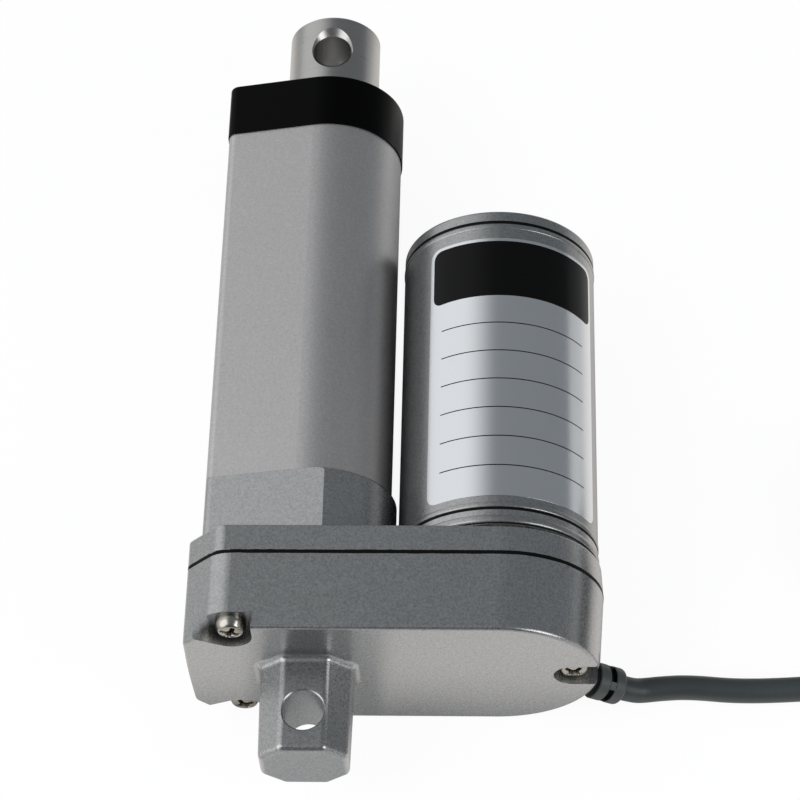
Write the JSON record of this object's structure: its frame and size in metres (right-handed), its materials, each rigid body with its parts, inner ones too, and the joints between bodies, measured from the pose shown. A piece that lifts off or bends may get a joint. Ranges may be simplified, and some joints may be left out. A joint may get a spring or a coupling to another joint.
{
  "type": "electric linear actuator",
  "caption": "Compact electric linear actuator lying on its back: gearbox with pin hole lug, round motor beside a flat-sided tube, extension rod with cross hole, cable with bare ends.",
  "frame": {"origin": "centre of the rear lug's pin hole", "axes": "+Y along the rod as it extends, +X towards the motor, +Z along the pin hole out of the front face"},
  "size_m": [0.1941, 0.1757, 0.0408],
  "materials": {
    "housing": "satin",
    "motor_paint": "satin",
    "tube": "satin",
    "rod": "polished",
    "black_plastic": "satin",
    "black_rubber": "matte",
    "screw_steel": "polished",
    "steel": "satin",
    "white_plastic": "satin",
    "bronze": "satin",
    "copper": "satin",
    "ferrite": "matte",
    "carbon": "matte",
    "board": "satin",
    "cable_grey": "matte",
    "core_sheath": "satin"
  },
  "bodies": {
    "actuator": {"rear_housing": "housing", "housing_gasket": "black_rubber", "front_housing": "housing", "housing_screws": "screw_steel", "outer_tube": "tube", "front_cap": "black_plastic", "rod_guide_bush": "white_plastic", "rod_wiper": "black_rubber", "screw_rear_bush": "bronze", "bearing_outer_ring": "steel", "bearing_balls": "steel", "bearing_circlip": "steel", "idler_axle": "steel", "motor_cover": "motor_paint", "motor_end_cap": "motor_paint", "motor_seals": "black_rubber", "motor_can": "steel", "motor_magnets": "ferrite", "motor_bushes": "bronze", "motor_brush_cap": "black_plastic", "motor_brushes": "carbon", "motor_screws": "steel", "limit_switch_board": "board", "limit_switches": "black_plastic", "cable_gland": "cable_grey", "cable_inner_end": "cable_grey", "power_cable": "cable_grey", "cable_coil": "cable_grey", "cable_cores": "core_sheath", "core_tips": "copper"},
    "rotor": {"motor_shaft": "steel", "rotor_core": "steel", "rotor_windings": "copper", "commutator": "copper", "motor_pinion": "steel"},
    "idler": {"idler_pinion": "steel", "idler_wheel": "white_plastic"},
    "screw": {"lead_screw": "steel", "screw_end_washer": "steel", "bearing_inner_ring": "steel", "screw_gear": "white_plastic"},
    "rod": {"extension_rod": "rod", "drive_nut": "white_plastic", "nut_pins": "steel"}
  },
  "joints": [
    {"name": "motor_spin", "type": "hinge", "parent": "actuator", "child": "rotor", "pos_m": [0.037, 0, 0], "axis": [0, -1, 0], "range_deg": [0, 67500]},
    {"name": "idler_spin", "type": "hinge", "parent": "actuator", "child": "idler", "pos_m": [0.021, 0, 0], "axis": [0, -1, 0], "range_deg": [-22500, 0]},
    {"name": "screw_spin", "type": "hinge", "parent": "actuator", "child": "screw", "pos_m": [0, 0, 0], "axis": [0, -1, 0], "range_deg": [0, 9000]},
    {"name": "rod_slide", "type": "slide", "parent": "actuator", "child": "rod", "axis": [0, 1, 0], "range_m": [0, 0.05]}
  ],
  "couplings": [
    {"joint": "idler_spin", "follows": "motor_spin", "ratio": -0.33333},
    {"joint": "screw_spin", "follows": "motor_spin", "ratio": 0.13333},
    {"joint": "rod_slide", "follows": "motor_spin", "m_per_rad": 0.000042441}
  ]
}
